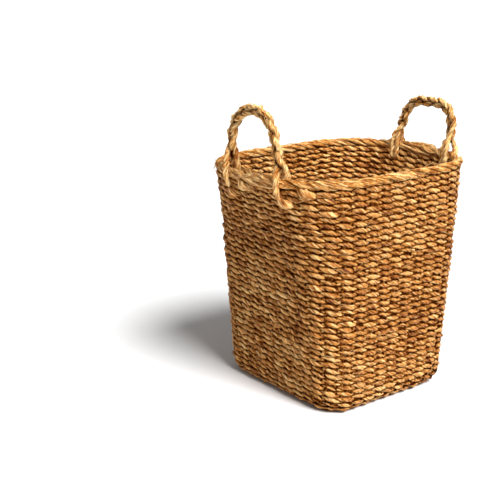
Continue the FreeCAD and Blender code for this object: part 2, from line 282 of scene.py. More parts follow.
def foot_place(stakes, travel):
    """Point on the middle surface of the turned foot, travel running from floor to wall."""
    foot_round = bpy.context.scene.basket_outline.foot_round
    bend = foot_bend()
    angle = travel / bend
    centre_x, centre_y, radius = section(foot_round)
    drop = bend * (1 - sin(angle))
    point, level_out = round_point(stakes, centre_x, centre_y, radius - drop)
    point.z = foot_round - bend * cos(angle)
    outward = level_out * sin(angle) - UP * cos(angle)
    upward = level_out * cos(angle) + UP * sin(angle)
    return point, outward, upward


def floor_place(stakes, part):
    """Point on the middle of the floor, part running from the patch to the foot's turn."""
    o = bpy.context.scene.basket_outline
    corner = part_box("floor_patch")[1]
    centre_x, centre_y, radius = section(o.foot_round)
    low = (corner.x - PATCH_CORNER, corner.y - PATCH_CORNER, PATCH_CORNER)
    high = (centre_x, centre_y, radius - foot_bend())
    values = [a + (b - a) * part for a, b in zip(low, high)]
    point, level_out = round_point(stakes, *values)
    point.z = o.wall / 2
    return point, -UP, level_out


# ---- strands

PROFILE_POINTS = 14  # corners of a strand's section
STEP = 0.0025  # distance between the points along a handle
SOLE = 0.002  # height below which the floor presses the weave flat
LEAF_LENGTH = 5.0  # length of leaf that a strand's start is drawn from
WEAVE_SKIN = 0.0056  # distance from the middle of the weave to its outermost skin
# A course's exposure falls off towards its edges, so that the material paints shade in the grooves
# between courses.
EDGE = (0.55, 1.0)  # where a course's edge begins and ends, as parts of half its height
EDGE_LIGHT = (1.0, 0.15)  # how much of the exposure is left there

# Folds of a strand's leaves: how many go round it, the length of a turn and the height.
LEAF_FOLDS = ((2, 0.055, 0.06), (3, 0.034, 0.08), (4, 0.021, 0.07), (5, 0.014, 0.05),
              (1, 0.012, 0.04))


def profile(corners, width, height, fullness=1.0):
    """The section of a strand: an oval, with slimmer shoulders where fullness is under one."""
    data = bpy.data.curves.new("section", "CURVE")
    data.dimensions = "2D"
    spline = data.splines.new("POLY")
    spline.points.add(corners - 1)
    for number, point in enumerate(spline.points):
        angle = 2 * pi * number / corners
        swell = 1 - (1 - fullness) * abs(sin(2 * angle))
        point.co = (width / 2 * swell * cos(angle), height / 2 * swell * sin(angle), 0, 1)
    spline.use_cyclic_u = True
    return bpy.data.objects.new("section", data)


class Strand:
    """The path of one strand with its thickness, tilt and tone at every point.

    facing is the way from the middle of the wall or rope to its skin, and offset is how far
    along it the strand's own middle lies. upward and climb say the same across a course.
    """

    def __init__(self, rng, closed=False):
        self.rows = []
        self.closed = closed
        self.start = rng.random() * LEAF_LENGTH

    def add(self, point, scale, tilt, tone, facing, offset, upward=UP, climb=0.0):
        """Adds the next point."""
        self.rows.append((point, scale, tilt, tone, facing, offset, upward, climb))


def table(vectors):
    """An array with one row for each vector."""
    return np.array([tuple(vector) for vector in vectors])


def leaf_edges(rng, along, angle):
    """Swelling of a strand's skin at each point, from the leaves that are bundled in it."""
    swell = np.zeros_like(angle)
    for folds, run, height in LEAF_FOLDS:
        turn = 2 * pi * (along / (run * rng.uniform(0.8, 1.25)) + rng.random())
        swell += height * np.sin(folds * angle + turn)
    return swell


def away_from_middle(skin, points, ways, shifts):
    """How far every point of the skin lies from the middle, measured along the given ways."""
    away = np.einsum("ijk,ik->ij", skin - points[:, None], table(ways))
    return np.abs(away + np.array(shifts)[:, None])


def strand_mesh(name, strands, oval, skin_depth, twist_mode="Z_UP", lay=0.05, rough=1.0,
                course=0.0, corners=PROFILE_POINTS):
    """One mesh of all strands, with attributes for the fibres, the tone and the exposure.

    oval is the width, height and fullness of a strand's section. exposure runs from 0 deep in
    the weave to 1 at skin_depth from its middle. It also falls off towards the edges of a
    course, where course gives its height. The material paints shade where the exposure is low.
    """
    outline = profile(corners, *oval)
    data = bpy.data.curves.new(name, "CURVE")
    data.dimensions = "3D"
    data.twist_mode = twist_mode
    data.bevel_mode = "OBJECT"
    data.bevel_object = outline
    columns = [tuple(zip(*strand.rows)) for strand in strands]
    for strand, (points, scales, tilts, *_) in zip(strands, columns):
        spline = data.splines.new("POLY")
        spline.points.add(len(points) - 1)
        spline.points.foreach_set("co", np.insert(table(points), 3, 1.0, axis=1).ravel())
        spline.points.foreach_set("radius", scales)
        spline.points.foreach_set("tilt", tilts)
        spline.use_cyclic_u = strand.closed
    maker = bpy.data.objects.new(name, data)
    bpy.context.collection.objects.link(maker)
    graph = bpy.context.evaluated_depsgraph_get()
    mesh = bpy.data.meshes.new_from_object(maker.evaluated_get(graph), depsgraph=graph)
    bpy.data.objects.remove(maker)
    bpy.data.objects.remove(outline)
    bpy.data.curves.remove(data)
    mesh.name = name
    close_ends(mesh)
    rng = Random(name)
    skin = np.empty(len(mesh.vertices) * 3, np.float32)
    mesh.vertices.foreach_get("co", skin)
    skin = skin.reshape(-1, corners, 3)
    first = 0
    fibres, tones, depths = [], [], []
    ring = np.arange(corners) * 2 * pi / corners
    for strand, column in zip(strands, columns):
        points, _, _, tone, facings, offsets, upwards, climbs = column
        points = table(points)
        steps = np.linalg.norm(np.diff(points, axis=0), axis=1)
        along = np.concatenate(([0.0], np.cumsum(steps))) + strand.start
        angle = ring[None, :] + 2 * pi * along[:, None] / lay
        swell = 1 + rough * leaf_edges(rng, along[:, None], angle)
        own = skin[first:first + len(points)]
        own[:] = points[:, None] + (own - points[:, None]) * swell[..., None]
        first += len(points)
        part = np.stack([np.repeat(along[:, None], corners, 1) * 100,
                         np.cos(angle), np.sin(angle)], axis=2)
        fibres.append(part.reshape(-1, 3))
        tones.append(np.repeat(tone, corners))
        depth = away_from_middle(own, points, facings, offsets) / skin_depth
        if course:
            edge = away_from_middle(own, points, upwards, climbs) * 2 / course
            depth *= np.interp(edge, EDGE, EDGE_LIGHT)
        depths.append(depth.ravel())
    fibres, tones, depths = (np.concatenate(a).astype(np.float32) for a in (fibres, tones, depths))
    if len(fibres) != len(mesh.vertices):
        raise RuntimeError(f"{name}: {len(mesh.vertices)} points came from {len(fibres)}")
    mesh.vertices.foreach_set("co", skin.ravel())
    for key, kind, field, values in (("fibre", "FLOAT_VECTOR", "vector", fibres.ravel()),
                                     ("tone", "FLOAT", "value", tones),
                                     ("exposure", "FLOAT", "value", depths)):
        mesh.attributes.new(key, kind, "POINT").data.foreach_set(field, values)
    mesh.shade_smooth()
    piece = bpy.data.objects.new(name, mesh)
    bpy.context.collection.objects.link(piece)
    return piece


def close_ends(mesh):
    """Caps the open ends of the strands and turns every face outwards."""
    work = bmesh.new()
    work.from_mesh(mesh)
    bmesh.ops.holes_fill(work, edges=[edge for edge in work.edges if edge.is_boundary])
    if work.calc_volume(signed=True) < 0:
        bmesh.ops.reverse_faces(work, faces=work.faces)
    work.to_mesh(mesh)
    work.free()


def press_flat(piece):
    """Flattens the lowest skin of a piece softly, so that it rests on the floor."""
    points = np.empty(len(piece.data.vertices) * 3, np.float32)
    piece.data.vertices.foreach_get("co", points)
    heights = points[2::3]
    low = heights < SOLE
    heights[low] = SOLE * np.exp(heights[low] / SOLE - 1)
    piece.data.vertices.foreach_set("co", points)
    piece.data.update()


def stitch_run(rng, count, mean=0.5):
    """Thickness, lift and tone of each stitch along a strand. Leaves last for a few stitches."""
    leaf = rng.gauss(mean, 0.08)
    run = []
    for _ in range(count):
        if rng.random() < 0.3:
            leaf = rng.gauss(mean, 0.07)
        run.append((rng.gauss(1.0, 0.12), rng.gauss(0.0, 0.0006),
                    limited(leaf + rng.gauss(0.0, 0.04))))
    return run


def twined_course(rng, place, stakes, samples, gather=1, size=1.0, tilt=None, widen=None):
    """The two strands of one course, which trade places between stakes.

    place gives the middle surface for a number of stakes. samples is the points that one stitch
    gets, and gather how many stakes it spans. size scales the strand and its swing. tilt turns
    the strand's section, and widen thickens the strand where the courses lie farther apart.
    """
    w = bpy.context.scene.weave_sizes
    strands = []
    drift = rng.gauss(0.0, 0.22)
    for turn in (drift, drift + pi):
        run = stitch_run(rng, stakes // gather + 1)
        strand = Strand(rng, closed=True)
        for step in range(stakes // gather * samples):
            number = step / samples
            thickness, lift, tone = run[int(number) % len(run)]
            point, outward, upward = place(number * gather)
            wander = noise.noise(point * 14.0) * w.waviness
            stray = 0.55 * noise.noise(point * 16.0 + UP * 40 * drift)
            phase = pi * (number - 0.5) + turn + stray
            belly = abs(cos(phase))
            swell = (1.03 - 0.06 * belly) * (1 + (thickness - 1) * belly)
            swing = w.swing_out * size * cos(phase) * (1 + 1.5 * (thickness - 1))
            climb = w.swing_up * size * sin(phase) + lift * belly + wander
            bend = tilt(outward) if tilt else 0.0
            swell *= widen(number * gather) if widen else 1.0
            strand.add(point + outward * swing + upward * climb, swell * size,
                       bend + rng.gauss(0.0, 0.05), tone, outward, swing, upward, climb - wander)
        strands.append(strand)
    return strands


# ---- material

def link(tree, *pairs):
    """Joins sockets, from the first of each pair to the second."""
    for start, end in pairs:
        tree.links.new(start, end)


def node(tree, kind, values=(), **options):
    """A new shader node with its options and the values of its inputs set."""
    made = tree.nodes.new(kind)
    for key, value in options.items():
        setattr(made, key, value)
    for key, value in dict(values).items():
        made.inputs[key].default_value = value
    return made


def ramp(tree, stops):
    """A colour ramp with the given stops."""
    made = tree.nodes.new("ShaderNodeValToRGB")
    band = made.color_ramp
    for position, _ in stops[1:-1]:
        band.elements.new(position)
    for element, (position, value) in zip(band.elements, stops):
        element.position = position
        element.color = (*value, 1.0)
    return made


def math_node(tree, operation, first, second=0.0):
    """A math node on two sockets or numbers."""
    made = node(tree, "ShaderNodeMath", operation=operation)
    for slot, value in zip(made.inputs, (first, second)):
        if isinstance(value, (int, float)):
            slot.default_value = value
        else:
            tree.links.new(value, slot)
    return made.outputs[0]


def noise_node(tree, place, scale, detail=2.0, roughness=0.5):
    """Noise from 0 to 1 over the given coordinates."""
    made = node(tree, "ShaderNodeTexNoise",
                {"Scale": scale, "Detail": detail, "Roughness": roughness})
    link(tree, (place, made.inputs["Vector"]))
    return made.outputs["Fac"]


def swing_node(tree, value, height):
    """Noise turned into a swing of the given height about nothing."""
    return math_node(tree, "MULTIPLY", math_node(tree, "SUBTRACT", value, 0.5), height)


def range_node(tree, value, start, end, low, high):
    """A value that goes from low to high as another goes from start to end."""
    made = node(tree, "ShaderNodeMapRange",
                {"From Min": start, "From Max": end, "To Min": low, "To Max": high})
    link(tree, (value, made.inputs["Value"]))
    return made.outputs[0]


def tint_node(tree, painted, share_of_tint, tint):
    """A colour multiplied by a tint, as far as its share says."""
    made = node(tree, "ShaderNodeMix", {"B": (*tint, 1.0)}, data_type="RGBA",
                blend_type="MULTIPLY")
    link(tree, (share_of_tint, made.inputs["Factor"]), (painted, made.inputs["A"]))
    return made.outputs["Result"]


def seagrass(name, lightness=0.0, along_strand=True):
    """Dried seagrass: leaves of several browns with fine fibres that run along the strand."""
    c = bpy.context.scene.fibre_colours
    material = bpy.data.materials.new(name)
    material.use_nodes = True
    tree = material.node_tree
    shader = tree.nodes["Principled BSDF"]
    coordinates = node(tree, "ShaderNodeTexCoord").outputs["Object"]
    if along_strand:
        fibre, tone, depth = (
            node(tree, "ShaderNodeAttribute", attribute_name=key).outputs[kind]
            for key, kind in (("fibre", "Vector"), ("tone", "Fac"), ("exposure", "Fac")))
        stretch = (0.35, 1.0, 1.0)
    else:
        fibre = coordinates
        tone = noise_node(tree, coordinates, 30.0)
        shader.inputs["Specular IOR Level"].default_value = 0.2
        stretch = (300.0, 300.0, 12.0)
    mapping = node(tree, "ShaderNodeMapping", {"Scale": stretch})
    link(tree, (fibre, mapping.inputs["Vector"]))
    stretched = mapping.outputs[0]
    leaves = noise_node(tree, stretched, 1.7, 3.0)
    hairs = noise_node(tree, stretched, 6.5, 4.0, 0.65)
    patches = noise_node(tree, coordinates, 9.0)
    mixed = math_node(tree, "ADD", tone, lightness)
    for pattern, height in ((leaves, 2.9), (hairs, 2.7), (patches, 0.5)):
        mixed = math_node(tree, "ADD", mixed, swing_node(tree, pattern, height))
    browns = ramp(tree, [(0.0, c.shade), (0.2, c.russet), (0.45, c.tan), (0.68, c.gold),
                         (1.0, c.straw)])
    link(tree, (mixed, browns.inputs["Fac"]))
    painted = browns.outputs["Color"]
    if along_strand:
        # Painted shade: the colour is darkened towards a deep brown where the exposure is low, deep
        # in the weave and in the grooves between courses. The specular level drops there too.
        painted_crease_shade = range_node(tree, depth, 0.12, 0.62, 1.0, 0.0)
        painted = tint_node(tree, painted, painted_crease_shade, (0.06, 0.010, 0.003))
        shine = range_node(tree, depth, 0.3, 1.0, 0.0, 0.28)
        link(tree, (shine, shader.inputs["Specular IOR Level"]))
    bundles = noise_node(tree, stretched, 1.25, 1.5)
    seam = range_node(tree, math_node(tree, "ABSOLUTE", swing_node(tree, bundles, 1.0)),
                      0.0, 0.08, 0.8, 0.0)
    painted = tint_node(tree, painted, seam, (0.30, 0.15, 0.05))
    raised = math_node(tree, "ADD", math_node(tree, "MULTIPLY", leaves, 0.7),
                       math_node(tree, "MULTIPLY", hairs, 0.5))
    raised = math_node(tree, "SUBTRACT", raised, math_node(tree, "MULTIPLY", seam, 0.3))
    bump = node(tree, "ShaderNodeBump", {"Strength": 0.4, "Distance": 0.0018})
    link(tree, (painted, shader.inputs["Base Color"]),
         (range_node(tree, hairs, 0.0, 1.0, 0.78, 0.48), shader.inputs["Roughness"]),
         (raised, bump.inputs["Height"]), (bump.outputs[0], shader.inputs["Normal"]))
    return material


# How much lighter or darker than the mean the strands of each kind are.
# The stakes are made darker as painted shade, since they lie deep in the weave.
LIGHTNESS = {"wall_fibres": 0.0, "base_fibres": -0.03, "rim_fibres": 0.0, "handle_fibres": 0.15,
             "tail_fibres": 0.12, "stake_fibres": -0.28, "loose_fibres": 0.05}


def finish_piece(piece, finish, nodes=(), body="basket"):
    """Gives a piece its finish and slot, hides the CAD nodes that it stands for, and hangs it on
    the body that it rides on.
    """
    material = bpy.data.materials.get(finish) or seagrass(finish, LIGHTNESS[finish])
    piece.data.materials.append(material)
    if nodes:
        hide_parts(*nodes)
    if body:
        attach(piece, body)


def parts(steps):
    """The ends and the even steps between them, from 0 to 1."""
    return [step / steps for step in range(steps + 1)]


# ---- operators

FOOT_SIZE = 0.9  # size of the foot's strands against the wall's
FLOOR_SIZE = 0.87  # size of the floor's strands against the wall's
FLOOR_PITCH = 0.0095  # distance between rounds at which a strand keeps its own thickness
FLOOR_LIFT = 0.003  # how far a strand is lifted for each time that it is thicker
PATCH_ROWS = (9, 10)  # strands of the patch across its width and its length
PATCH_SWING = 0.0022  # how far they swing over and under


class BASKET_OT_wall(Operator):
    """Twines the seven bands of the wall from pairs of strands"""
    bl_idname = "basket.wall"
    bl_label = "Wall Courses"

    def execute(self, context):
        o = context.scene.basket_outline
        w = context.scene.weave_sizes
        oval = (w.strand_depth, w.strand_height, 0.85)
        step = (RIM_BOX[0].z - o.foot_round) / (BANDS * w.courses_per_band)
        for band in range(BANDS):
            strands = []
            for course in range(w.courses_per_band):
                number = band * w.courses_per_band + course
                height = o.foot_round + (number + 0.5) * step

                def spread(s):
                    below = wall_place(s, height - step / 2)[0]
                    return (wall_place(s, height + step / 2)[0] - below).length / step

                strands += twined_course(Random(100 + number), lambda s: wall_place(s, height),
                                         all_stakes(), 10, widen=spread)
            piece = strand_mesh(f"wall_courses_{band + 1}", strands, oval, WEAVE_SKIN, rough=1.25,
                                course=step)
            finish_piece(piece, "wall_fibres", [f"wall_weave_{band + 1}"])
        return {"FINISHED"}


def lie(outward):
    """Turn of a strand's section that lays it down where the weave faces the floor."""
    return -acos(min(outward.normalized().xy.length, 1.0))


def foot_strands():
    """The strands of the courses round the turn of the foot, and the height of a course."""
    courses = bpy.context.scene.weave_sizes.foot_courses
    turn = foot_bend() * pi / 2
    strands = []
    for course in range(courses):
        travel = turn * (course + 0.5) / courses
        strands += twined_course(Random(40 + course), lambda s: foot_place(s, travel),
                                 all_stakes(), 8, size=FOOT_SIZE, tilt=lie)
    return strands, turn / courses


def floor_strands():
    """The strands of the floor's rounds. A stitch spans two stakes where they lie close."""
    rounds = bpy.context.scene.weave_sizes.floor_rounds
    strands = []
    for turn in range(rounds):
        part = (turn + 0.5) / rounds
        gather = 1 if part > 0.5 else 2

        def spread(s):
            inner = floor_place(s, part - 0.5 / rounds)[0]
            outer = floor_place(s, part + 0.5 / rounds)[0]
            return (outer - inner).length / FLOOR_PITCH

        def lifted(s):
            point, outward, upward = floor_place(s, part)
            return point + UP * (FLOOR_LIFT * (spread(s) - 1)), outward, upward

        strands += twined_course(Random(60 + turn), lifted, all_stakes(), 8 * gather,
                                 gather=gather, size=FLOOR_SIZE, tilt=lie, widen=spread)
    return strands


def patch_strands():
    """The strands of the patch, which go over and under one another."""
    middle = bpy.context.scene.basket_outline.wall / 2
    low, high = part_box("floor_patch")
    rng = Random(80)
    strands = []
    for across, rows, other in ((0, *PATCH_ROWS), (1, *PATCH_ROWS[::-1])):
        aside = 1 - across
        for row in range(rows):
            tone = limited(rng.gauss(0.5, 0.15))
            strand = Strand(rng)
            for part in parts(other * 6):
                swing = PATCH_SWING * sin(pi * (part * other + row + across))
                point = Vector((0.0, 0.0, middle + swing))
                point[across] = low[across] + (high[across] - low[across]) * part
                point[aside] = low[aside] + (high[aside] - low[aside]) * (row + 0.5) / rows
                strand.add(point, FLOOR_SIZE, pi / 2, tone, UP, swing)
            strands.append(strand)
    return strands


class BASKET_OT_floor(Operator):
    """Twines the turned foot and the rounds of the floor, and weaves the patch"""
    bl_idname = "basket.floor"
    bl_label = "Foot and Floor"

    def execute(self, context):
        w = context.scene.weave_sizes
        oval = (w.strand_depth, w.strand_height, 0.85)
        foot, course = foot_strands()
        for name, strands, height, stands_for in (
                ("foot_twining", foot, course, "foot_courses"),
                ("floor_twining", floor_strands(), 0.0, "floor_rounds"),
                ("patch_weave", patch_strands(), 0.0, "floor_patch")):
            piece = strand_mesh(name, strands, oval, WEAVE_SKIN, course=height)
            press_flat(piece)
            finish_piece(piece, "base_fibres", [stands_for])
        return {"FINISHED"}


RIM_SKIN = 0.0115  # distance from the middle of the rim rope to its outermost skin
RIM_SAMPLES = 10  # points along a strand for each stake
WRAP_STEPS = 80  # steps along one of the extra strands
WRAP_PAST = 0.9  # how far, in stakes, the extra strands start before a handle's feet


def rim_ply(number, turns):
    """One strand of the rope, with the turns that it makes on its way round."""
    r = bpy.context.scene.rim_sizes
    rng = Random(20 + number)
    run = stitch_run(rng, turns * 3, 0.58)
    strand = Strand(rng, closed=True)
    count = all_stakes() * RIM_SAMPLES
    for step in range(count):
        part = step / count
        point, level_out = rim_place(part * all_stakes())
        turned = part * turns + number / r.plies
        tone = run[int(turned * 3) % len(run)][2]
        angle = 2 * pi * turned + 0.9 * noise.noise(point * 18.0 + UP * number)
        wander = (UP * noise.noise(point * 9.0) * 0.0022
                  + level_out * noise.noise(point * 8.0 + UP) * 0.0015)
        swing = around(level_out, angle)
        swell = 1 + 0.2 * noise.noise(point * 26.0 + UP * 3 * number)
        strand.add(point + swing * r.spread + wander, swell, 0.0, tone, swing, r.spread)
    return strand


def rim_wrap(start, end, number, side):
    """One of the extra strands that thicken the rim between a handle's feet."""
    r = bpy.context.scene.rim_sizes
    rng = Random(f"{side}{number}")
    strand = Strand(rng)
    tone = rng.gauss(0.74, 0.10)
    turn = rng.uniform(0.0, 2 * pi)
    out = r.wrap_out * rng.uniform(0.7, 1.6)
    first = start + rng.uniform(0.0, 1.2)
    last = end - rng.uniform(0.0, 1.2)
    for part in parts(WRAP_STEPS):
        point, level_out = rim_place(first + (last - first) * part)
        angle = turn + 4.0 * part + 2.4 * noise.noise(point * 16.0 + UP * number)
        swing = around(level_out, angle)
        bulge = sin(pi * part) ** 0.5
        away = r.spread + out * bulge
        strand.add(point + swing * away, 0.30 + 0.33 * bulge, 0.0, tone, swing, away)
    return strand


class BASKET_OT_rim(Operator):
    """Lays up the rope of the rim round its core"""
    bl_idname = "basket.rim"
    bl_label = "Rim Rope"

    def execute(self, context):
        r = context.scene.rim_sizes
        centre_x, centre_y, radius = section(RIM_BOX[0].z)
        turns = round(4 * (centre_x + centre_y + radius * pi / 2) / r.lay)
        strands = [rim_ply(number, turns) for number in range(r.plies)]
        for side in HANDLE_BOX:
            ends = [foot_number(side, foot) for foot in ("front", "back")]
            start, end = min(ends) - WRAP_PAST, max(ends) + WRAP_PAST
            strands += [rim_wrap(start, end, number, side) for number in range(r.wraps)]
        piece = strand_mesh("rim_plies", strands, (r.ply, r.ply), RIM_SKIN, lay=0.12)
        finish_piece(piece, "rim_fibres", ["rim_rope"])
        return {"FINISHED"}


PLAIT_SKIN = 0.0125  # distance from the middle of a plait to its outermost skin
STITCHES = 60  # changes of tone along a strand of a plait
BARE_POINTS = 7  # points at each end of a handle's line that the roots take the place of

# Where a root straddles the rim: heights, and the distance from the wall's middle.
STRADDLE = ((0.4080, 0.0094), (0.402, 0.0106), (0.392, 0.0112), (0.383, 0.0108),
            (0.375, 0.0092))
ENTRY = 0.369  # height at which a root goes through the wall
ENTRY_OUT = 0.005  # how far outside the wall's middle it goes in
ENTRY_IN = 0.004  # how far past the middle it ends
SIDEWAYS = (-0.003, 0.004, -0.006)  # where the three strands of a foot lie along the rim


def rounded_line(corners, bends, spacing):
    """Evenly spaced points along straight runs joined by tangent arcs."""
    line = [corners[0]]
    for corner, before, after, bend in zip(corners[1:-1], corners, corners[2:], bends):
        back = (before - corner).normalized()
        ahead = (after - corner).normalized()
        half = back.angle(ahead) / 2
        start = corner + back * (bend / tan(half))
        middle = corner + (back + ahead).normalized() * (bend / sin(half))
        sweep = pi - 2 * half
        axis = (-back).cross(ahead).normalized()
        steps = max(2, ceil(bend * sweep / spacing))
        for number in range(steps + 1):
            line.append(middle + Quaternion(axis, sweep * number / steps) @ (start - middle))
    line.append(corners[-1])
    return resample(line, spacing)


def resample(line, spacing):
    """The same line with its points evenly spaced."""
    points = table(line)
    run = np.concatenate(([0.0], np.cumsum(np.linalg.norm(np.diff(points, axis=0), axis=1))))
    count = max(2, round(run[-1] / spacing))
    places = np.linspace(0.0, run[-1], count + 1)
    return [Vector([np.interp(d, run, points[:, axis]) for axis in range(3)]) for d in places]


def handle_feet(side):
    """Where a handle's back and front foot stand along X, its middle in Y and its hinge in Z."""
    low, high = HANDLE_BOX[side]
    half = (high.y - low.y) / 2
    return low.x + half, high.x - half, (low.y + high.y) / 2, low.z + half


def handle_line(side):
    """The middle line of one handle from its back foot to its front foot."""
    h = getattr(bpy.context.scene, f"{side}_handle_sizes")
    back_x, front_x, middle_y, hinge = handle_feet(side)
    back, front = (Vector((x, middle_y, hinge)) for x in (back_x, front_x))
    rise = h.crown - hinge
    shoulders = [Vector((back.x + rise * tan(h.back_lean), middle_y, h.crown)),
                 Vector((front.x - rise * tan(h.front_lean), middle_y, h.crown))]
    span = (shoulders[1] - shoulders[0]).length
    bends = [h.back_share * span / tan((pi / 2 - h.back_lean) / 2),
             h.front_share * span / tan((pi / 2 - h.front_lean) / 2)]
    return rounded_line([back, *shoulders, front], bends, STEP)


def make_handle(side):
    """The three strands of one handle, each from the wall over the rim and back to the wall."""
    p = bpy.context.scene.plait_sizes
    line = handle_line(side)
    last = len(line) - 1
    cycles = round(last * (line[1] - line[0]).length / p.period)
    out = Vector((0.0, -1.0 if side == "left" else 1.0, 0.0))
    rng = Random(7 if side == "left" else 11)
    strands = []
    for number in range(3):
        path = []
        for step in range(BARE_POINTS, len(line) - BARE_POINTS):
            ahead = (line[step + 1] - line[step - 1]).normalized()
            wide = ahead.cross(Vector((0, 1, 0))).normalized()
            phase = 2 * pi * (cycles * step / last + number / 3)
            path.append(line[step] + wide * (p.half_width * sin(phase))
                        + out * (p.half_depth * sin(2 * phase)))
        back = root_points(side, "back", number)[::-1]
        front = root_points(side, "front", number)
        full = smooth_strand(back + bridge(back[-2:], path[:2]) + path
                             + bridge(path[-2:], front[:2]) + front, STEP)
        run = stitch_run(rng, STITCHES, 0.62)
        strand = Strand(rng)
        for step, point in enumerate(full):
            away = point - min(line, key=lambda middle: (middle - point).length_squared)
            tone = run[(step * STITCHES) // len(full) // 3 % STITCHES][2]
            swell = 1 + 0.10 * noise.noise(point * 45.0 + UP * number)
            strand.add(point, swell, 0.0, tone, away.normalized(), away.length)
        strands.append(strand)
    return strands


def bridge(before, after):
    """A soft curve that carries on from one pair of points and runs into another pair."""
    reach = (after[0] - before[1]).length * 0.4
    leave = before[1] + (before[1] - before[0]).normalized() * reach
    arrive = after[0] - (after[1] - after[0]).normalized() * reach
    return interpolate_bezier(before[1], leave, arrive, after[0], 10)[1:-1]


def smooth_strand(points, spacing):
    """Evens out the joins between the plait and its roots."""
    line = resample(points, spacing)
    for _ in range(4):
        inner = [(a + b * 2 + c) / 4 for a, b, c in zip(line, line[1:], line[2:])]
        line = [line[0], *inner, line[-1]]
    return line


def foot_number(side, foot):
    """Where a foot stands on the round, in stake spacings, found from the handle's own box."""
    per_quarter = bpy.context.scene.basket_outline.stakes_per_quarter
    back_x, front_x, _, _ = handle_feet(side)
    centre_x, centre_y, radius = section(RIM_BOX[0].z)
    run = abs(front_x if foot == "front" else back_x)
    if run > centre_x:
        run = centre_x + radius * asin((run - centre_x) / radius)
    quarter = centre_x + centre_y + radius * pi / 2
    away = run / quarter * per_quarter
    if foot == "back":
        away = -away
    return away if side == "right" else 2 * per_quarter - away


def root_points(side, foot, number):
    """Where one strand leaves the plait, straddles the rim and goes into the wall."""
    place = foot_number(side, foot)
    level_out = rim_place(place)[1]
    sideways = UP.cross(level_out) * SIDEWAYS[number] * (1 if foot == "front" else -1)
    across = 1 if number == 0 else -1
    points = []
    for height, away in STRADDLE:
        point = wall_place(place, min(height, RIM_BOX[0].z))[0]
        point.z = height
        points.append(point + level_out * (across * away) + sideways)
    point, outward, _ = wall_place(place, ENTRY)
    points.append(point + outward * (across * ENTRY_OUT) + sideways * 0.5)
    points.append(point - outward * (across * ENTRY_IN))
    return points


class BASKET_OT_handles(Operator):
    """Plaits both handles and works their strands through the wall"""
    bl_idname = "basket.handles"
    bl_label = "Plaited Handles"

    def execute(self, context):
        p = context.scene.plait_sizes
        for side in HANDLE_BOX:
            piece = strand_mesh(f"{side}_handle_braid", make_handle(side), (p.strand, p.strand),
                                PLAIT_SKIN, "MINIMUM", lay=0.07, rough=1.9)
            nodes = [f"{side}_handle_{part}" for part in ("plait", "front_root", "back_root")]
            finish_piece(piece, "handle_fibres", nodes, body=None)
            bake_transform(piece)
        return {"FINISHED"}


TAIL_OVAL = (0.0105, 0.0155)  # width and height of a tail
TAIL_SKIN = 0.010  # distance from the wall's middle to a tail's outermost skin
TAIL_STEPS = 16  # steps along a tail
TAIL_LENGTH = 1.05  # length of a tail in stakes
TAIL_APART = (1.3, 0.017)  # distance between a foot's two tails, in stakes and in height
TAIL_DROP = (0.0052, 0.0098)  # how high a tail starts, and how far it falls


def tail(rng, place, height, number):
    """One end that comes out of the wall and goes in again."""
    strand = Strand(rng)
    tone = rng.gauss(0.55, 0.08)
    for part in parts(TAIL_STEPS):
        bulge = sin(pi * part)
        at = place + 0.25 - number * TAIL_APART[0] - part * TAIL_LENGTH
        point, outward, upward = wall_place(at, height + 0.004 + number * TAIL_APART[1])
        point = (point + outward * (0.001 + 0.0095 * bulge)
                 + upward * (TAIL_DROP[0] - TAIL_DROP[1] * part))
        strand.add(point, 0.42 + 0.58 * bulge, 0.0, tone, outward, 0.0085 * bulge)
    return strand


class BASKET_OT_tails(Operator):
    """Lays the ends of the handles' strands along the outside of the wall"""
    bl_idname = "basket.tails"
    bl_label = "Strand Tails"

    def execute(self, context):
        for side in HANDLE_BOX:
            for foot in ("front", "back"):
                rng = Random(f"{side}{foot}")
                low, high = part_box(f"{side}_handle_{foot}_tail")
                strands = [tail(rng, foot_number(side, foot), (low.z + high.z) / 2, number)
                           for number in range(2)]
                piece = strand_mesh(f"{side}_{foot}_tail", strands, TAIL_OVAL, TAIL_SKIN)
                finish_piece(piece, "tail_fibres",
                             [f"{side}_handle_{foot}_tail"])
        return {"FINISHED"}


STALK_OVAL = (0.0088, 0.0062)  # width along the wall and depth of one stalk of a stake
STALK_APART = 0.0074  # distance between the three stalks of a stake
STALK_SKIN = 0.010  # distance from the wall's middle at which a stalk would be in the open
STALK_STEPS = 24  # steps up a stalk
STAKE_BELOW = 0.006  # how far a stake reaches down into the foot
STAKE_ABOVE = 0.003  # how far it reaches up into the rim rope


def stalk(rng, number, shift):
    """One stalk of a stake, its section turned so that it lies flat along the wall."""
    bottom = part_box("foot_courses")[1].z - STAKE_BELOW
    top = RIM_BOX[0].z + STAKE_ABOVE
    strand = Strand(rng)
    # A low tone: painted shade on the stalks, which lie deep in the weave.
    tone = limited(rng.gauss(0.35, 0.08))
    line = []
    for part in parts(STALK_STEPS):
        point, outward, upward = wall_place(number + 0.5, bottom + (top - bottom) * part)
        turn = 0.25 * sin(7 * part + number)
        point += upward.cross(outward) * (shift * STALK_APART + turn * 0.001)
        line.append((point, outward))
    lean = line[1][0] - line[0][0]
    for point, outward in line:
        tilt = atan2(lean.cross(outward).z, lean.xy.dot(outward.xy))
        strand.add(point, 1.0, tilt, tone, outward, 0.0)
    return strand


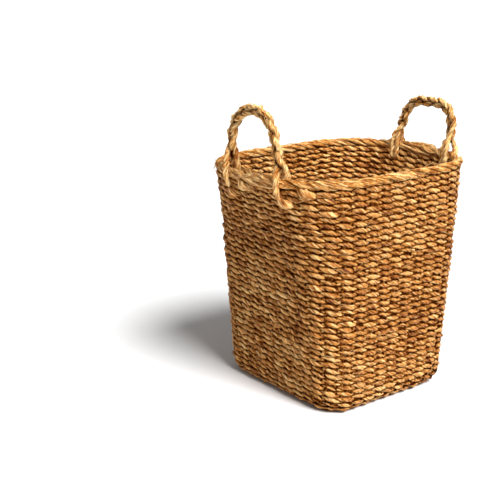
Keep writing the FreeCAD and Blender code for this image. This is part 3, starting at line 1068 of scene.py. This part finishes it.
class BASKET_OT_stakes(Operator):
    """Bundles stalks into the upright stakes and finishes the rim's core"""
    bl_idname = "basket.stakes"
    bl_label = "Stakes and Core"

    def execute(self, context):
        per_side = context.scene.basket_outline.stakes_per_quarter
        for side, name in enumerate(("right", "front", "left", "back")):
            first = side * per_side - (per_side + 1) // 2
            strands = []
            for number in range(first, first + per_side):
                rng = Random(500 + number)
                strands += [stalk(rng, number, shift) for shift in (-1, 0, 1)]
            piece = strand_mesh(f"{name}_stake_bundles", strands, STALK_OVAL, STALK_SKIN, "MINIMUM")
            finish_piece(piece, "stake_fibres", [f"{name}_stakes"])
        core = seagrass("core_fibres", lightness=-0.1, along_strand=False)
        set_material(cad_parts["rim_core"], core)
        return {"FINISHED"}


FIBRE_FLOOR = 0.004  # height that a loose fibre keeps above the floor
FIBRE_SKIN = 0.02  # taken as offset and as depth, so that every fibre counts as in the open
WALL_START = 0.0055  # distance from the wall's middle at which a loose fibre starts
RIM_START = 0.0074  # the same at the rim rope
PLAIT_START = 0.0070  # the same at a plait


def whisker(rng, middle, start, outward, along, shortest, longest):
    """One loose fibre that leaves a strand at a slant, start out from the middle, and curls."""
    reach = rng.uniform(shortest, longest) * bpy.context.scene.fibre_sizes.reach
    point = middle + outward * start
    rise = rng.gauss(0.0, 0.18)
    sideways = outward.cross(along)
    strand = Strand(rng)
    tone = limited(rng.gauss(0.7, 0.15))
    curl = rng.gauss(0.0, 0.35)
    for part in parts(5):
        place = (point + along * (reach * part) + sideways * (reach * part * (rise + curl * part))
                 + outward * (reach * (0.32 * part - 0.12 * part * part)))
        place.z = max(place.z, FIBRE_FLOOR)
        strand.add(place, 1.0 - 0.7 * part, 0.0, tone, outward, FIBRE_SKIN)
    return strand


def fibre_piece(name, strands, body):
    """Makes one piece of loose fibres."""
    thickness = bpy.context.scene.fibre_sizes.thickness
    piece = strand_mesh(name, strands, (thickness, thickness), FIBRE_SKIN, "MINIMUM", corners=3)
    finish_piece(piece, "loose_fibres", body=body)


class BASKET_OT_loose_fibres(Operator):
    """Scatters loose fibres over the wall, the rim and the handles"""
    bl_idname = "basket.loose_fibres"
    bl_label = "Loose Fibres"

    def execute(self, context):
        f = context.scene.fibre_sizes
        o = context.scene.basket_outline
        rng = Random(33)
        strands = []
        for _ in range(f.on_wall):
            point, outward, upward = wall_place(rng.random() * all_stakes(),
                                                rng.uniform(o.foot_round, RIM_BOX[0].z))
            if rng.random() < 0.3:
                outward = -outward
            along = upward.cross(outward) * rng.choice((-1, 1))
            strands.append(whisker(rng, point, WALL_START, outward, along, 0.4, 1.0))
        for _ in range(f.on_rim):
            point, level_out = rim_place(rng.random() * all_stakes())
            outward = around(level_out, rng.uniform(-0.6, 2.6))
            along = UP.cross(level_out) * rng.choice((-1, 1))
            strands.append(whisker(rng, point, RIM_START, outward, along, 0.4, 1.0))
        fibre_piece("loose_wall_fibres", strands, "basket")
        for side in HANDLE_BOX:
            line = handle_line(side)
            strands = []
            for _ in range(f.on_handle):
                step = rng.randrange(10, len(line) - 10)
                ahead = (line[step + 1] - line[step]).normalized() * rng.choice((-1, 1))
                outward = ahead.orthogonal().normalized()
                outward.rotate(Quaternion(ahead, rng.uniform(0.0, 2 * pi)))
                strands.append(whisker(rng, line[step], PLAIT_START, outward, ahead, 0.3, 0.7))
            fibre_piece(f"loose_{side}_handle_fibres", strands,
                        f"{side}_handle")
        return {"FINISHED"}


def set_material(piece, material):
    """Puts one material on every slot of a CAD node."""
    if not piece.material_slots:
        piece.data.materials.append(material)
    for slot in piece.material_slots:
        slot.material = material


FLOOR_REACH = 40.0  # half the side of the floor
ROOM_GLOW = 0.25  # light that the pale room throws on everything
WHITE = (1.0, 1.0, 1.0, 1.0)
CAMERA_PLACE = (1.2455, -1.1655, 0.7265)
CAMERA_WAY = (-0.758, 0.590, -0.279)  # direction in which the camera looks

# Every lamp's kind, place, the point that it is aimed at, and its other settings.
LAMPS = {
    "key": ("SUN", (1.9, 0.0, 2.35), (0.0, 0.0, 0.22), {}),
    "fill": ("AREA", (0.8, -2.4, 1.6), (0.0, 0.0, 0.22), {"size": 1.6}),
    "mouth": ("SPOT", (0.55, -0.75, 1.75), (-0.03, 0.10, 0.37),
              {"spot_size": radians(15), "spot_blend": 0.7, "shadow_soft_size": 0.08}),
}


def pale_room():
    """A world that is white to the camera and throws a weak white light."""
    world = bpy.data.worlds.new("pale_room")
    world.use_nodes = True
    tree = world.node_tree
    glow = tree.nodes["Background"]
    glow.inputs["Color"].default_value = WHITE
    glow.inputs["Strength"].default_value = ROOM_GLOW
    backdrop = node(tree, "ShaderNodeBackground", {"Color": WHITE})
    seen = node(tree, "ShaderNodeLightPath").outputs["Is Camera Ray"]
    mixed = node(tree, "ShaderNodeMixShader")
    link(tree, (seen, mixed.inputs["Fac"]), (glow.outputs[0], mixed.inputs[1]),
         (backdrop.outputs[0], mixed.inputs[2]),
         (mixed.outputs[0], tree.nodes["World Output"].inputs["Surface"]))
    return world


def stand(data, place=None, way=None):
    """An object on the stage, where place and way say where it stands and looks."""
    stood = bpy.data.objects.new(data.name, data)
    bpy.context.scene.collection.objects.link(stood)
    if place:
        stood.location = place
        stood.rotation_euler = way.to_track_quat("-Z", "Y").to_euler()
    return stood


class BASKET_OT_stage(Operator):
    """Sets the floor, the lamps and the camera"""
    bl_idname = "basket.stage"
    bl_label = "Stage"

    def execute(self, context):
        s = context.scene.stage_sizes
        work = bmesh.new()
        bmesh.ops.create_grid(work, x_segments=1, y_segments=1, size=FLOOR_REACH)
        mesh = bpy.data.meshes.new("floor")
        work.to_mesh(mesh)
        work.free()
        paint = bpy.data.materials.new("floor_paint")
        paint.use_nodes = True
        shader = paint.node_tree.nodes["Principled BSDF"]
        shader.inputs["Base Color"].default_value = (*s.floor, 1.0)
        shader.inputs["Roughness"].default_value = 0.9
        shader.inputs["Specular IOR Level"].default_value = 0.1
        mesh.materials.append(paint)
        stand(mesh)
        for name, (kind, place, aim, settings) in LAMPS.items():
            lamp = bpy.data.lights.new(f"{name}_lamp", kind)
            lamp.energy = getattr(s, name)
            for key, value in settings.items():
                setattr(lamp, key, value)
            if kind == "SUN":
                lamp.angle = s.softness
            stand(lamp, place, Vector(aim) - Vector(place))
        camera = bpy.data.cameras.new("camera")
        camera.lens = s.lens
        camera.sensor_width = 36.0
        camera.clip_end = 50.0
        context.scene.camera = stand(camera, CAMERA_PLACE, Vector(CAMERA_WAY))
        context.scene.world = pale_room()
        context.scene.view_settings.view_transform = "Standard"
        return {"FINISHED"}


class BASKET_PT_panel(Panel):
    """Lists the steps that make the basket"""
    bl_idname = "BASKET_PT_panel"
    bl_label = "Woven Basket"
    bl_space_type = "VIEW_3D"
    bl_region_type = "UI"
    bl_category = "Basket"

    def draw(self, context):
        for name in STEPS:
            self.layout.operator(f"basket.{name}")
        for group in GROUPS:
            holder = getattr(context.scene, group)
            box = self.layout.box()
            box.label(text=group.replace("_", " "))
            for key in holder.__annotations__:
                box.prop(holder, key)


STEPS = ("stage", "stakes", "wall", "floor", "rim", "handles", "tails", "loose_fibres")

GROUPS = {
    "basket_outline": BasketOutline,
    "weave_sizes": WeaveSizes,
    "rim_sizes": RimSizes,
    "left_handle_sizes": HandleSizes,
    "right_handle_sizes": HandleSizes,
    "plait_sizes": PlaitSizes,
    "fibre_sizes": FibreSizes,
    "fibre_colours": FibreColours,
    "stage_sizes": StageSizes,
}

CLASSES = (
    BasketOutline, WeaveSizes, RimSizes, HandleSizes, PlaitSizes, FibreSizes,
    FibreColours, StageSizes,
    BASKET_OT_wall, BASKET_OT_floor, BASKET_OT_rim, BASKET_OT_handles, BASKET_OT_tails,
    BASKET_OT_stakes, BASKET_OT_loose_fibres, BASKET_OT_stage, BASKET_PT_panel,
)


def register():
    """Registers the classes and hangs the sizes on the scene."""
    for kind in CLASSES:
        bpy.utils.register_class(kind)
    for name, kind in GROUPS.items():
        setattr(bpy.types.Scene, name, PointerProperty(type=kind))


def unregister():
    """Takes everything off again."""
    for name in GROUPS:
        delattr(bpy.types.Scene, name)
    for kind in reversed(CLASSES):
        bpy.utils.unregister_class(kind)


def main():
    """Makes the basket and its stage."""
    register()
    right = bpy.context.scene.right_handle_sizes
    right.crown = 0.482
    right.front_lean = 0.0
    right.back_lean = radians(23)
    right.front_share = 0.32
    right.back_share = 0.30
    for name in STEPS:
        getattr(bpy.ops.basket, name)()


if __name__ == "__main__":
    main()
